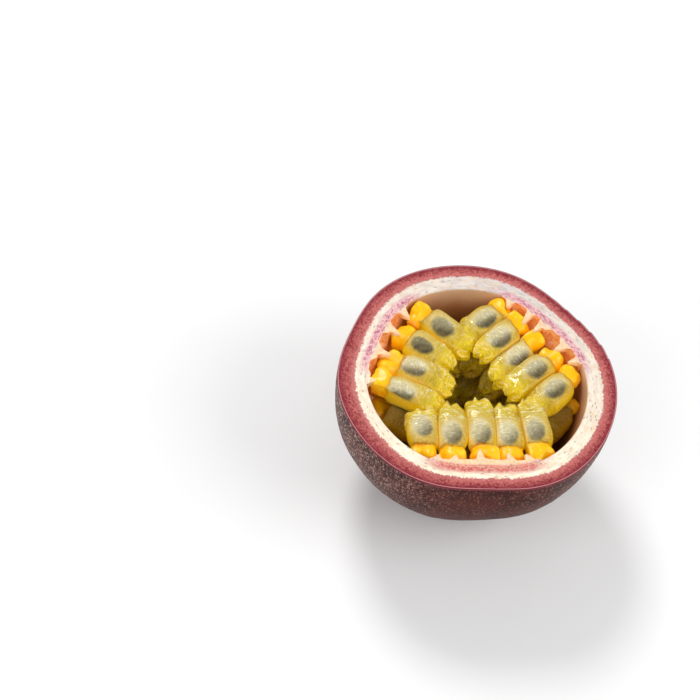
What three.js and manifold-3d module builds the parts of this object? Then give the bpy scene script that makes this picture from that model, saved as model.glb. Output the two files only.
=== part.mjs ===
// Half of a purple passion fruit, lying on its round end with the cut face up.
//
// The fruit is a round body, a little longer than it is wide, cut across its middle.
// From outside in it has a purple shell, a white pith and three placentas, which are bands that
// run down the pith with pegs on them. Juice sacs hang from the placentas and point to
// the fruit's axis: a top row just under the cut, a second row below it, and a bed of
// sacs that fills the bottom.
//
// Millimetres, +Z up. The origin is on the floor, under the middle of the outline.
// Azimuths are in degrees, counter-clockwise from +X. Depths are measured down from the
// cut face, and insets are measured in from the skin.

import * as THREE from 'three';
import { mergeVertices } from 'three/addons/utils/BufferGeometryUtils.js';
import Module from 'manifold-3d';

const wasm = await Module();
wasm.setup();

// ---------------------------------------------------------------- driving dimensions

const RADIUS = 26.6;         // half the fruit's width at the cut, where it is roundest
const POLE_DEPTH = 28.5;     // from the cut to where the round end would reach
const REST_RADIUS = 4.8;     // the flat spot that it rests on
const SHELL = 2.4;           // purple skin and the red flesh under it
const PITH = 2.9;            // white pith
const PLACENTA = 1.0;        // a placenta's thickness along its middle
const PLACENTA_EDGE = 0.45;  // and along its two long edges
const GAP = 0.3;             // between neighbouring pieces

const SAC_WIDTH = 5.4;
const SAC_HEIGHT = 4.7;
const SAC_REACH = 18.0;      // how far from the fruit's axis a sac's cap may end
const CAP_SETBACK = 0.1;     // from a cap's end to the pith, beside the placentas
const SAC_DROOP = 1.1;       // how much a sac's inner tip sinks
const TOP_ROW_DEPTH = 2.5;   // depth of the top row's middle line
const LOWER_ROW_DEPTH = 7.4;
const BED_ROW_DEPTH = 12.6;
const BED_DEPTH = 14.0;      // depth of the bed's own surface, under its row of sacs

const SAC_BLUNTNESS = 4.5;    // exponent of a sac's rounded ends
const SAC_SQUARENESS = 2.6;   // exponent of its section: 2 is round, more is squarer
const CAP_TAPER = 0.1;        // how much narrower the cap is than the body
const CAP_START = 0.35;       // where the cap begins and is reached, from -1 at the tip
const CAP_FULL = 0.6;         // to +1 at the cap's end
const WAIST_TAPER = 0.1;      // how much the waist behind the cap is drawn in
const WAIST_PLACE = 0.5;
const WAIST_SPREAD = 0.14;
const TIP_TAPER = 0.3;        // how much slimmer the inner tip is than the body
const TIP_START = 0.2;
const CRUMPLE = 0.1;          // relief of the folds on the tip, as a share of the width
const CRUMPLE_FOLDS = 5;      // folds round the tip
const CRUMPLE_START = 0.3;
const CRUMPLE_FULL = 0.9;

const PEG_DEPTH = 1.0;
const PEG_BASE = 0.85;
const PEG_TIP = 0.4;
const PEG_SIDES = 7;
const SOCKET_RADIUS = 1.5;
const SOCKET_SETBACK = 1.05;  // from a socket's middle to the placenta's face behind it
const SOCKET_DEPTH = 1.95;    // from the cut to a socket's middle
const SOCKET_SIDES = 8;
const SOCKET_STEPS = 6;
const FLAT_SPREAD = 22;      // degrees over which the fruit is flatter at a placenta
const PLACENTA_SPAN = 30;    // degrees from a placenta's middle to its edge
const PLACENTA_REACH = 62;   // degrees that it runs down the wall

const ROUND_STEPS = 42;      // facets round the fruit
const WALL_STEPS = 8;        // facets down its wall
const BED_ROUND_STEPS = 24;
const BED_WALL_STEPS = 5;
const BAND_SPAN_STEPS = 10;  // facets across a placenta
const BAND_REACH_STEPS = 7;  // and down it
const MERGE_DISTANCE = 1e-4; // vertices closer than this are one

// One cluster of sacs and its placenta. flattening is how much the fruit is pressed in
// there. A peg is [azimuth, length]. A sac is [side, swing, tip, raise, size]: its cap's
// place to the side of the cluster's axis, how far its tip is swung from there, how far
// the tip stays from the fruit's axis, how much it is raised, and its relative width.
const CLUSTERS = [
  {
    name: 'left',
    azimuth: 172,
    flattening: 0.05,
    pegs: [[147, 3.0], [161, 3.0], [179, 3.4], [200, 2.4]],
    sockets: [154, 170, 190],
    top: [
      [-11.3, 3.2, 3.8, 0.0, 1.06],
      [-5.0, 2.6, 5.6, 0.0, 1.08],
      [1.8, 0.1, 3.8, 0.1, 1.06],
      [7.9, -0.7, 3.6, 0.0, 1.0],
    ],
    lower: [
      [-8.0, 1.0, 4.6, 0.0, 1.0],
      [-2.2, 0.4, 4.0, 0.0, 1.04],
      [4.2, 0.0, 3.8, 0.0, 1.04],
      [10.4, 0.4, 4.6, 0.6, 1.0],
    ],
    bed: [[-5.4, 1.0, 3.4, 0, 1.0], [0.6, 0.2, 3.0, 0, 1.05], [6.6, -0.6, 3.4, 0, 1.0]],
  },
  {
    name: 'right',
    azimuth: 59,
    flattening: 0.055,
    pegs: [[84, 2.0], [71, 3.2], [62, 2.8], [43, 3.2], [32, 2.6]],
    sockets: [77, 66, 52, 35],
    top: [
      [8.9, 0.7, 5.8, 0.0, 0.96],
      [4.4, 0.0, 6.2, 0.2, 0.96],
      [0.0, -0.6, 5.0, -0.9, 0.9],
      [-5.1, 0.0, 4.0, 0.1, 1.0],
      [-10.5, 0.2, 4.4, 0.0, 1.0],
    ],
    lower: [
      [6.0, 0.4, 4.4, 0.0, 0.98],
      [0.6, 0.0, 4.2, -0.4, 1.0],
      [-7.0, 0.2, 4.0, 0.0, 1.0],
      [-13.2, -0.4, 4.0, 0.6, 0.94],
    ],
    bed: [[5.6, -0.4, 3.4, 0, 1.0], [-0.2, 0, 3.0, 0, 1.05], [-6.2, 0.4, 3.4, 0, 1.0]],
  },
  {
    name: 'front',
    azimuth: 288,
    flattening: 0.07,
    pegs: [[261, 1.8], [270, 1.8], [285, 3.6], [303, 2.6], [313, 2.4]],
    sockets: [262, 277, 294, 309],
    top: [
      [-10.8, 0.2, 5.0, 0.0, 0.98],
      [-5.7, 0.9, 3.8, 0.0, 1.0],
      [-0.1, 0.6, 3.0, 0.2, 0.98],
      [5.3, 0.1, 3.6, -0.1, 0.96],
      [10.9, -1.0, 2.8, 0.0, 1.0],
    ],
    lower: [
      [-8.2, 0.6, 4.8, 0.0, 0.98],
      [-2.6, 0.4, 4.0, 0.0, 1.0],
      [3.0, 0.0, 3.8, 0.0, 1.0],
      [8.4, -0.5, 4.2, 0.0, 0.98],
    ],
    bed: [[-5.8, 0.6, 3.4, 0, 1.0], [0.2, 0, 3.0, 0, 1.05], [6.2, -0.4, 3.4, 0, 1.0]],
  },
];

// ---------------------------------------------------------------- the fruit's round form

const CUT_HEIGHT = POLE_DEPTH * Math.sqrt(1 - (REST_RADIUS / RADIUS) ** 2);
const PITH_INSET = SHELL + GAP;
const CAVITY_INSET = PITH_INSET + PITH;
const PLACENTA_INSET = CAVITY_INSET + GAP;

const radians = THREE.MathUtils.degToRad;
const smoothstep = THREE.MathUtils.smoothstep;

// How much the fruit is pressed in at an azimuth, as a share of its radius: a bell curve
// about each placenta.
function flatteningAt(azimuth) {
  let sum = 0;
  for (const cluster of CLUSTERS) {
    const turn = Math.abs(azimuth - radians(cluster.azimuth)) % (2 * Math.PI);
    const apart = Math.min(turn, 2 * Math.PI - turn);
    sum += cluster.flattening * Math.exp(-((apart / radians(FLAT_SPREAD)) ** 2));
  }
  return sum;
}

// Radius of the layer that lies inset mm under the skin. Its profile is a quarter ellipse,
// and its flats fade out towards the round end.
function layerRadius(inset, azimuth, depth) {
  const fall = Math.min(Math.max(depth / (POLE_DEPTH - inset), 0), 1);
  const level = Math.sqrt(1 - fall * fall);
  return (RADIUS - inset) * level * (1 - flatteningAt(azimuth) * level);
}

// The middle of the outline's box, which goes over the origin.
function outlineMiddle() {
  const box = new THREE.Box2();
  for (let i = 0; i < ROUND_STEPS; i++) {
    const azimuth = (i / ROUND_STEPS) * 2 * Math.PI;
    const radius = layerRadius(0, azimuth, 0);
    box.expandByPoint(new THREE.Vector2(radius * Math.cos(azimuth), radius * Math.sin(azimuth)));
  }
  return box.getCenter(new THREE.Vector2());
}

// ---------------------------------------------------------------- solids

// The same geometry with positions only, shared vertices and no collapsed triangles.
function merged(geometry) {
  geometry.deleteAttribute('normal');
  geometry.deleteAttribute('uv');
  const joined = mergeVertices(geometry, MERGE_DISTANCE);
  const corners = joined.index.array;
  const kept = [];
  for (let i = 0; i < corners.length; i += 3) {
    const [a, b, c] = corners.slice(i, i + 3);
    if (a !== b && b !== c && c !== a) {
      kept.push(a, b, c);
    }
  }
  joined.setIndex(kept);
  return joined;
}

function toSolid(geometry) {
  const closed = merged(geometry);
  return new wasm.Manifold(new wasm.Mesh({
    numProp: 3,
    vertProperties: Float32Array.from(closed.attributes.position.array),
    triVerts: Uint32Array.from(closed.index.array),
  }));
}

function toGeometry(solid) {
  const mesh = solid.getMesh();
  const geometry = new THREE.BufferGeometry();
  geometry.setAttribute('position', new THREE.BufferAttribute(mesh.vertProperties, 3));
  geometry.setIndex(new THREE.BufferAttribute(mesh.triVerts, 1));
  return geometry;
}

// A cut can leave scraps beside the main body: only the largest one is kept.
function largestBody(solid) {
  const bodies = solid.decompose();
  return bodies.reduce((best, body) => (body.volume() > best.volume() ? body : best));
}

// Moves every vertex of a geometry to move(vertex).
function warped(geometry, move) {
  const positions = geometry.attributes.position;
  const vertex = new THREE.Vector3();
  for (let i = 0; i < positions.count; i++) {
    vertex.fromBufferAttribute(positions, i);
    move(vertex);
    positions.setXYZ(i, vertex.x, vertex.y, vertex.z);
  }
  return geometry;
}

// ---------------------------------------------------------------- shell and pith

// Profile of the quarter ellipse inset mm under the skin, from the low end to the cut.
// A skin profile stops at the flat spot instead of the axis.
function quarterProfile(inset, steps) {
  const points = [];
  const start = inset > 0 ? 0 : Math.asin(REST_RADIUS / RADIUS);
  for (let i = 0; i <= steps; i++) {
    const polar = start + (i / steps) * (Math.PI / 2 - start);
    const radius = (RADIUS - inset) * Math.sin(polar);
    const depth = (POLE_DEPTH - inset) * Math.cos(polar);
    points.push(new THREE.Vector2(radius, CUT_HEIGHT - depth));
  }
  return points;
}

// Turns a profile round the fruit's axis and presses it in at the placentas.
function turned(profile, roundSteps) {
  const round = new THREE.LatheGeometry(profile, roundSteps).rotateX(Math.PI / 2);
  return warped(round, (vertex) => {
    const azimuth = Math.atan2(vertex.y, vertex.x);
    const fall = Math.min(Math.max((CUT_HEIGHT - vertex.z) / POLE_DEPTH, 0), 1);
    const press = 1 - flatteningAt(azimuth) * Math.sqrt(1 - fall * fall);
    vertex.x *= press;
    vertex.y *= press;
  });
}

// A bowl between two insets: up its outside, over the cut face and down its inside.
function bowl(outerInset, innerInset) {
  const outer = quarterProfile(outerInset, WALL_STEPS);
  const inner = quarterProfile(innerInset, WALL_STEPS).reverse();
  const foot = outerInset > 0 ? [] : [new THREE.Vector2(0, 0)];
  return toSolid(turned([...foot, ...outer, ...inner], ROUND_STEPS));
}

// All the room inside an inset, from the low end up to a depth.
function room(inset, topDepth, wallSteps, roundSteps) {
  const top = CUT_HEIGHT - topDepth;
  const wall = quarterProfile(inset, wallSteps).filter((point) => point.y < top);
  const rim = (RADIUS - inset) * Math.sqrt(1 - (topDepth / (POLE_DEPTH - inset)) ** 2);
  const lid = [new THREE.Vector2(rim, top), new THREE.Vector2(0, top)];
  return toSolid(turned([...wall, ...lid], roundSteps));
}

// ---------------------------------------------------------------- placentas

// A band against the pith, thicker along its middle, made by bending a flat box: its X
// becomes the azimuth, its Y runs down the wall and its Z is the thickness.
function placentaBand(cluster, clearance) {
  const flat = new THREE.BoxGeometry(1, 1, 1, BAND_SPAN_STEPS, BAND_REACH_STEPS, 1);
  const middle = radians(cluster.azimuth);
  const span = radians(PLACENTA_SPAN) + clearance / (RADIUS - PLACENTA_INSET);
  return toSolid(warped(flat, (vertex) => {
    const across = 2 * vertex.x;
    const azimuth = middle + across * span;
    const polar = (0.5 - vertex.y) * radians(PLACENTA_REACH);
    const bulge = PLACENTA_EDGE + (PLACENTA - PLACENTA_EDGE) * (1 - across * across);
    const inset = vertex.z > 0 ? PLACENTA_INSET - clearance : PLACENTA_INSET + bulge + clearance;
    const depth = (POLE_DEPTH - inset) * Math.sin(polar);
    const radius = layerRadius(inset, azimuth, depth);
    const above = vertex.y >= 0.5 ? clearance : 0;
    vertex.set(radius * Math.cos(azimuth), radius * Math.sin(azimuth), CUT_HEIGHT - depth + above);
  }));
}

// A tapered stub that starts inside the band and points to the fruit's axis.
function peg(azimuthDegrees, length, clearance) {
  const azimuth = radians(azimuthDegrees);
  const reach = length + clearance;
  const stub = new THREE.CylinderGeometry(PEG_TIP + clearance, PEG_BASE + clearance, reach, PEG_SIDES);
  const foot = layerRadius(PLACENTA_INSET + PLACENTA_EDGE / 2, azimuth, PEG_DEPTH);
  stub.rotateZ(Math.PI / 2);
  stub.translate(foot - reach / 2, 0, CUT_HEIGHT - PEG_DEPTH);
  return toSolid(stub.rotateZ(azimuth));
}

// A shallow round pit between two pegs.
function socket(azimuthDegrees) {
  const azimuth = radians(azimuthDegrees);
  const pit = new THREE.SphereGeometry(SOCKET_RADIUS, SOCKET_SIDES, SOCKET_STEPS);
  const wall = layerRadius(PLACENTA_INSET + PLACENTA, azimuth, SOCKET_RADIUS);
  pit.translate(wall - SOCKET_SETBACK, 0, CUT_HEIGHT - SOCKET_DEPTH);
  return toSolid(pit.rotateZ(azimuth));
}

function placenta(cluster, clearance) {
  let solid = placentaBand(cluster, clearance);
  if (clearance === 0) {
    for (const azimuth of cluster.sockets) {
      solid = solid.subtract(socket(azimuth));
    }
  }
  for (const [azimuth, length] of cluster.pegs) {
    solid = solid.add(peg(azimuth, length, clearance));
  }
  return solid;
}

// ---------------------------------------------------------------- juice sacs

// A sac's half width along it, from its inner tip at -1 to its cap at +1, as a share of
// the widest: blunt ends, a cap a little narrower than the body, a waist between the two
// and a slimmer tip.
function sacOutline(along) {
  const blunt = Math.sqrt(1 - Math.min(Math.abs(along) ** SAC_BLUNTNESS, 1));
  const cap = 1 - CAP_TAPER * smoothstep(along, CAP_START, CAP_FULL);
  const waist = 1 - WAIST_TAPER * Math.exp(-(((along - WAIST_PLACE) / WAIST_SPREAD) ** 2));
  const tip = 1 - TIP_TAPER * smoothstep(-along, TIP_START, 1);
  return blunt * cap * waist * tip;
}

// Radius of a squarish section of half width 1, at an angle round it.
function squareRadius(round) {
  const wide = Math.abs(Math.cos(round)) ** SAC_SQUARENESS;
  const high = Math.abs(Math.sin(round)) ** SAC_SQUARENESS;
  return (wide + high) ** (-1 / SAC_SQUARENESS);
}

// A juice sac: a round body with its poles at its cap and tip, squarish across where its
// neighbours press on it, with a crumpled tip that sinks.
function sac(cluster, row, [side, swing, tip, raise, size], clearance) {
  const depth = row.depth - raise;
  const capAzimuth = radians(cluster.azimuth) + Math.atan2(side, SAC_REACH);
  const wall = layerRadius(PLACENTA_INSET, capAzimuth, depth);
  const capEnd = Math.min(SAC_REACH, Math.sqrt(wall * wall - side * side) - CAP_SETBACK);
  const length = Math.hypot(capEnd - tip, swing) + 2 * clearance;
  const halfWidth = (size * SAC_WIDTH) / 2 + clearance;
  const halfHeight = (size * SAC_HEIGHT) / 2 + clearance;
  const body = new THREE.SphereGeometry(1, row.sides, row.steps).rotateZ(-Math.PI / 2);
  warped(body, (vertex) => {
    const along = (vertex.x + 1 - (2 * Math.acos(vertex.x)) / Math.PI) / 2;
    const round = Math.atan2(vertex.z, vertex.y);
    const folds = Math.sin(CRUMPLE_FOLDS * round + side) * smoothstep(-along, CRUMPLE_START, CRUMPLE_FULL);
    const share = sacOutline(along) * squareRadius(round) * (1 + CRUMPLE * folds);
    const sink = SAC_DROOP * ((1 - along) / 2) ** 2;
    vertex.x = (along * length) / 2;
    vertex.y = halfWidth * share * Math.cos(round);
    vertex.z = halfHeight * share * Math.sin(round) - sink;
  });
  body.rotateZ(Math.atan2(-swing, capEnd - tip));
  body.translate((capEnd + tip) / 2, side + swing / 2, CUT_HEIGHT - depth);
  return toSolid(body.rotateZ(radians(cluster.azimuth)));
}

// ---------------------------------------------------------------- materials

const material = (color, roughness) => new THREE.MeshStandardMaterial({ color, roughness, metalness: 0 });
const shellMaterial = material('#8e4650', 0.45);
const pithMaterial = material('#f4e6d4', 0.75);
const placentaMaterial = material('#f2b98c', 0.5);
const sacMaterial = material('#d8b62c', 0.15);
const bedMaterial = material('#8a6d12', 0.25);

// ---------------------------------------------------------------- the fruit half

const fruit = new THREE.Group();
const middle = outlineMiddle();
fruit.position.set(-middle.x, -middle.y, 0);

function addPiece(name, solid, finish) {
  const piece = new THREE.Mesh(toGeometry(solid), finish);
  piece.name = name;
  fruit.add(piece);
}

addPiece('shell', bowl(0, SHELL), shellMaterial);
addPiece('pith', bowl(PITH_INSET, CAVITY_INSET), pithMaterial);

// Each later piece is cut back by the grown forms of the ones before it.
const taken = [];
for (const cluster of CLUSTERS) {
  addPiece(`placenta_${cluster.name}`, placenta(cluster, 0), placentaMaterial);
  taken.push(placenta(cluster, GAP));
}

const cavity = room(PLACENTA_INSET, 0, WALL_STEPS, ROUND_STEPS);
const rows = [
  { key: 'top', name: 'sac', depth: TOP_ROW_DEPTH, sides: 12, steps: 9 },
  { key: 'lower', name: 'sac_lower', depth: LOWER_ROW_DEPTH, sides: 10, steps: 7 },
];
for (const row of rows) {
  for (const cluster of CLUSTERS) {
    cluster[row.key].forEach((spec, index) => {
      let solid = sac(cluster, row, spec, 0).intersect(cavity);
      for (const neighbour of taken) {
        solid = solid.subtract(neighbour);
      }
      addPiece(`${row.name}_${cluster.name}_${index + 1}`, largestBody(solid), sacMaterial);
      taken.push(sac(cluster, row, spec, GAP));
    });
  }
}

// The bed: the bottom of the cavity up to BED_DEPTH, with its row of sacs fused on.
const bedRow = { depth: BED_ROW_DEPTH, sides: 8, steps: 6 };
const bedInset = PLACENTA_INSET + PLACENTA + GAP;
let bed = room(bedInset, BED_DEPTH, BED_WALL_STEPS, BED_ROUND_STEPS);
for (const cluster of CLUSTERS) {
  for (const spec of cluster.bed) {
    bed = bed.add(sac(cluster, bedRow, spec, 0).intersect(cavity));
  }
}
for (const neighbour of taken) {
  bed = bed.subtract(neighbour);
}
addPiece('pulp_bed', largestBody(bed), bedMaterial);

const group = new THREE.Group();
group.add(fruit);

export default group;
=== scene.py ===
import itertools
import math

import bmesh
import bpy
import numpy as np
from mathutils import Matrix, Vector


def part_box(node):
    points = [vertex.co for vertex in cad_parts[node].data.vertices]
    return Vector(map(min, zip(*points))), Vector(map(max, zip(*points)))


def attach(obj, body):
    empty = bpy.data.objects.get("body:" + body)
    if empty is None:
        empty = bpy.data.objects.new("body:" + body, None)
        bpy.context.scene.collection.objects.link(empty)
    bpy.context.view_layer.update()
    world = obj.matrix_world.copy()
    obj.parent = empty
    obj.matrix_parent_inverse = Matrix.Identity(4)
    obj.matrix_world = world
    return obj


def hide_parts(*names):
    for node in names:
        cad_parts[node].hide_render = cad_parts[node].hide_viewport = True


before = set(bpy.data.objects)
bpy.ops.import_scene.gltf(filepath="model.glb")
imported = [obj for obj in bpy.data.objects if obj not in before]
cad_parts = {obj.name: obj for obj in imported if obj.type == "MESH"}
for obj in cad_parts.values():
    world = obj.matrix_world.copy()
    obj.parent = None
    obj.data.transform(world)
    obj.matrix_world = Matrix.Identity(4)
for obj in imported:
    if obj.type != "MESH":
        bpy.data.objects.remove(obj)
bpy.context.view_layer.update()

MM = 0.001

# ---------- driving dimensions, mm and degrees
#
# Azimuths run counter-clockwise from +X. Depths are measured down from the cut, and insets in from the skin.

RADIUS = 26.6            # half the fruit's width at the cut, where it is roundest
POLE_DEPTH = 28.5        # from the cut to where the round end would reach
CUT_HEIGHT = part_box("shell")[1][2] / MM
FLAT_SPREAD = 22         # degrees over which the fruit is flatter at a placenta
OUTLINE_STEPS = 42       # facets round the solid

SEAM = 2.5               # inset at which the shell meets the pith
SEAM_LAP = 0.03          # how far the pith's outside lies within the shell
CAVITY_INSET = 5.6       # inset of the cavity's wall
LIP = 0.12               # rounding between the skin and the cut
INNER_EDGE = 0.35        # rounding between the cut and the cavity's wall
RIM_SINK = 0.05          # how far the shell's cut lies under the top of the solids
FACE_SINK = 0.07         # how far the pith's cut does
LAP_SINK = 0.06          # and the top of the pith's outside
RIM_RELIEF = 0.05        # height of the noise on the shell's cut, on the pith's and on the cavity's wall
FACE_RELIEF = 0.06
WALL_RELIEF = 0.06
BULGE = 0.55             # of the skin at the front left
BULGE_AZIMUTH = 215
BULGE_DEPTH = 12
RED_REACH = 0.8          # how much further in the red flesh reaches at the left
RED_AZIMUTH = 208
RUDDY_AZIMUTH = 290      # middle of the stretch where the skin is redder
SCAR_RADIUS = 1.3
DIMPLE_RADIUS = 1.5
DIMPLE_DEPTH = 0.5
KNIFE_AZIMUTH = 45       # middle of the stretch where the knife left flats on the rim
KNIFE_FULL = 10          # degrees from there to where they start to fade
KNIFE_END = 26           # and to where they end
KNIFE_STEP = 7.5         # degrees from one flat to the next
KNIFE_RELIEF = 0.22      # from one end of a flat to the other

PLACENTA = 1.0           # a placenta's thickness along its middle
PLACENTA_EDGE = 0.25     # along its edges, and how deep its other side lies in the pith
PLACENTA_LEAST = 0.08    # its least thickness, and how far its top stays under the cut
PLACENTA_INSET = 5.9     # inset of the face that the caps end at
PLACENTA_SPAN = 30       # degrees from a placenta's middle to its edge
PLACENTA_REACH = 62      # degrees that it runs down the wall
PEG_ROWS = ((0.7, 1.0), (6.2, 0.75), (11.2, 0.7))   # depth of each row of pegs, and their relative length
PEG_SHARE = 0.66         # how much of a peg's length stands out of the placenta
PEG_FOOT = 1.15          # radius at a peg's foot
PEG_TOP = 0.3            # and round its top, from which a small point rises
SOCKET_RIM = 2.3         # radius at a socket's rim
SOCKET_FLOOR = 1.3       # and of its floor
SOCKET_DROP = 0.3        # how much lower than the pegs a socket lies
DOWN_SHARE = 0.8         # width of pegs and sockets for their length down the wall

SAC_WIDTH = 5.4
SAC_HEIGHT = 4.7
SAC_REACH = 18.0         # how far from the fruit's axis a sac's cap may end
SAC_SQUARENESS = 2.4     # exponent of its section: 2 is round, more is squarer
SAC_PLUMPNESS = 1.17     # how much wider it is before its neighbours press on it
BODY_MIDDLE = -0.19      # along a sac, from -1 at the tip to 1 at the cap's end: the long body,
BODY_HALF = 0.81
KNOB_MIDDLE = 0.7        # the round knob of the cap,
KNOB_HALF = 0.3
KNOB_WIDTH = 0.82        # which is this much of the body's width,
WAIST = 0.44             # and the waist behind it
CAP_SETBACK = 0.1        # from a cap's end to the face behind it
SAC_DROOP = 1.1          # how much a sac's tip sinks
SAC_GAP = 0.03           # from a sac's side to the plane that parts it from its neighbour
LEAST_SIDE = 0.4         # least distance to that plane, in the sac's widths
PRESS_SOFTNESS = 0.15    # how far before that plane the side starts to give way
TOP_ROW_DEPTH = 2.5      # depth of the top row's middle line
LOWER_ROW_DEPTH = 7.4
BED_ROW_DEPTH = 12.6
BED_DEPTH = 14.0         # depth of the level under the bed's sacs
BED_INSET = 0.4          # from the cavity's wall to the side of what fills the bottom
SEED_HALVES = (2.5, 1.55, 1.35)   # half a seed's length, width and height
SEED_FORWARD = 0.9       # how far to the front a seed lies in its sac
SEED_RAISE = 0.1         # how much higher than the middle of the sac

MERGE_DISTANCE = 2e-7    # in metres: points closer than this are one
SLIVER_LENGTH = 1e-8     # in metres: an edge shorter than this goes

# A sac is [side, swing, tip, lift, size]: how far its cap lies beside the cluster's middle line, how much
# further over its tip lies, the tip's distance from the fruit's axis, how far it is lifted over its row, and
# its size. A peg is [azimuth, length]. pit is how deep the sockets are, and pad makes the placenta thicker.
# For the top row, seeds says how far each seed lies towards its cap, and the list after it how strong
# the painted milky sheen over the seed is.
CLUSTERS = [
    {
        "name": "left",
        "azimuth": 172,
        "flattening": 0.05,
        "pegs": [[147, 3.0], [161, 3.0], [179, 3.4], [200, 2.4]],
        "sockets": [154, 170, 190],
        "pit": 1.05,
        "pad": 0.05,
        "top": [
            [-11.3, 3.2, 3.8, 0.0, 1.06],
            [-5.0, 2.6, 5.6, 0.0, 1.08],
            [1.8, 0.1, 3.8, 0.1, 1.06],
            [7.9, -0.7, 3.6, 0.0, 1.0],
        ],
        "seeds": [-0.2, 0.3, 0.9, 0.9],
        "painted_sheen_amount": [0.5, 0.25, 1.15, 1.2],
        "lower": [
            [-8.0, 1.0, 4.6, 0.0, 1.0],
            [-2.2, 0.4, 4.0, 0.0, 1.04],
            [4.2, 0.0, 3.8, 0.0, 1.04],
            [10.4, 0.4, 4.6, 0.6, 1.0],
        ],
        "bed": [[-5.4, 1.0, 3.4, 0, 1.0], [0.6, 0.2, 3.0, 0, 1.05], [6.6, -0.6, 3.4, 0, 1.0]],
    },
    {
        "name": "right",
        "azimuth": 59,
        "flattening": 0.055,
        "pegs": [[84, 2.0], [71, 3.2], [62, 2.8], [43, 3.2], [32, 2.6]],
        "sockets": [77, 66, 52, 36],
        "pit": 1.05,
        "pad": 0.05,
        "top": [
            [8.9, 0.7, 5.8, 0.0, 0.96],
            [4.4, 0.0, 6.2, 0.2, 0.96],
            [0.0, -0.6, 5.0, -0.9, 0.9],
            [-5.1, 0.0, 4.0, 0.1, 1.0],
            [-10.5, 0.2, 4.4, 0.0, 1.0],
        ],
        "seeds": [0.6, -0.4, 0.4, 0.5, 0.1],
        "painted_sheen_amount": [0.9, 1.1, 1.1, 0.8, 0.85],
        "lower": [
            [6.0, 0.4, 4.4, 0.0, 0.98],
            [0.6, 0.0, 4.2, -0.4, 1.0],
            [-7.0, 0.2, 4.0, 0.0, 1.0],
            [-13.2, -0.4, 4.0, 0.6, 0.94],
        ],
        "bed": [[5.6, -0.4, 3.4, 0, 1.0], [-0.2, 0, 3.0, 0, 1.05], [-6.2, 0.4, 3.4, 0, 1.0]],
    },
    {
        "name": "front",
        "azimuth": 288,
        "flattening": 0.07,
        "pegs": [[261, 1.8], [270, 1.8], [285, 3.6], [303, 2.6], [313, 2.4]],
        "sockets": [265, 277, 294, 308],
        "pit": 0.2,
        "pad": 0.5,
        "top": [
            [-10.8, 0.2, 5.0, 0.0, 0.98],
            [-5.7, 0.9, 3.8, 0.0, 1.0],
            [-0.1, 0.6, 3.0, 0.2, 0.98],
            [5.3, 0.1, 3.6, -0.1, 0.96],
            [10.9, -1.0, 2.8, 0.0, 1.0],
        ],
        "seeds": [-1.4, 0.3, 0.4, 0.2, 0.3],
        "painted_sheen_amount": [1.15, 1.0, 1.1, 1.3, 0.85],
        "lower": [
            [-8.2, 0.6, 4.8, 0.0, 0.98],
            [-2.6, 0.4, 4.0, 0.0, 1.0],
            [3.0, 0.0, 3.8, 0.0, 1.0],
            [8.4, -0.5, 4.2, 0.0, 0.98],
        ],
        "bed": [[-5.8, 0.6, 3.4, 0, 1.0], [0.2, 0, 3.0, 0, 1.05], [6.2, -0.4, 3.4, 0, 1.0]],
    },
]


# ---------- arithmetic on arrays

def smoothstep(value, low, high):
    """0 at low and 1 at high, which may also be the smaller one, with a cubic S between."""
    part = np.clip((value - low) / (high - low), 0, 1)
    return part * part * (3 - 2 * part)


def bell(value, middle, width):
    """A Gauss curve of height 1."""
    return np.exp(-(((value - middle) / width) ** 2))


def lattice_noise(points, size, seed):
    """Smooth noise from -1 to 1: random values on a cubic lattice of a size, which repeats after 32 cells,
    blended between the corners of each cell."""
    repeat = 32
    table = np.random.default_rng(seed).uniform(-1, 1, (repeat, repeat, repeat))
    off_origin = 97.3
    place = points / size + off_origin
    cell = np.floor(place).astype(int)
    part = place - cell
    fade = part * part * (3 - 2 * part)
    total = 0
    for corner in itertools.product((0, 1), repeat=3):
        weight = np.prod(np.where(np.array(corner) == 1, fade, 1 - fade), axis=-1)
        index = (cell + corner) % repeat
        total = total + weight * table[index[..., 0], index[..., 1], index[..., 2]]
    return total


def ridged(points, size, seed):
    """Noise with sharp crests at 1 and broad valleys, as in creased film."""
    return 1 - 2 * np.abs(lattice_noise(points, size, seed))


def unit(vectors):
    """Vectors of length 1 in the same directions."""
    return vectors / np.maximum(np.linalg.norm(vectors, axis=-1, keepdims=True), 1e-6)


def apart(azimuth, middle_degrees):
    """Signed angle in degrees from a middle to an azimuth in radians."""
    return (np.degrees(azimuth) - middle_degrees + 180) % 360 - 180


# ---------- the fruit's round form

def flattening_at(azimuth):
    """How much the fruit is pressed in at an azimuth: a bell curve about each placenta."""
    return sum(c["flattening"] * bell(apart(azimuth, c["azimuth"]), 0, FLAT_SPREAD) for c in CLUSTERS)


def outline_middle():
    """The middle of the outline's box, which lies over the origin."""
    azimuth = np.arange(OUTLINE_STEPS) / OUTLINE_STEPS * 2 * np.pi
    radius = RADIUS * (1 - flattening_at(azimuth))
    place = np.stack([radius * np.cos(azimuth), radius * np.sin(azimuth)])
    return (place.min(1) + place.max(1)) / 2


MIDDLE = outline_middle()


def axis_point(depth):
    """The point of the fruit's axis at a depth."""
    return np.array([-MIDDLE[0], -MIDDLE[1], CUT_HEIGHT - depth])


def from_axis(points):
    """Distance of points from the fruit's axis."""
    return np.linalg.norm(points[..., :2] + MIDDLE, axis=-1)


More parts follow.
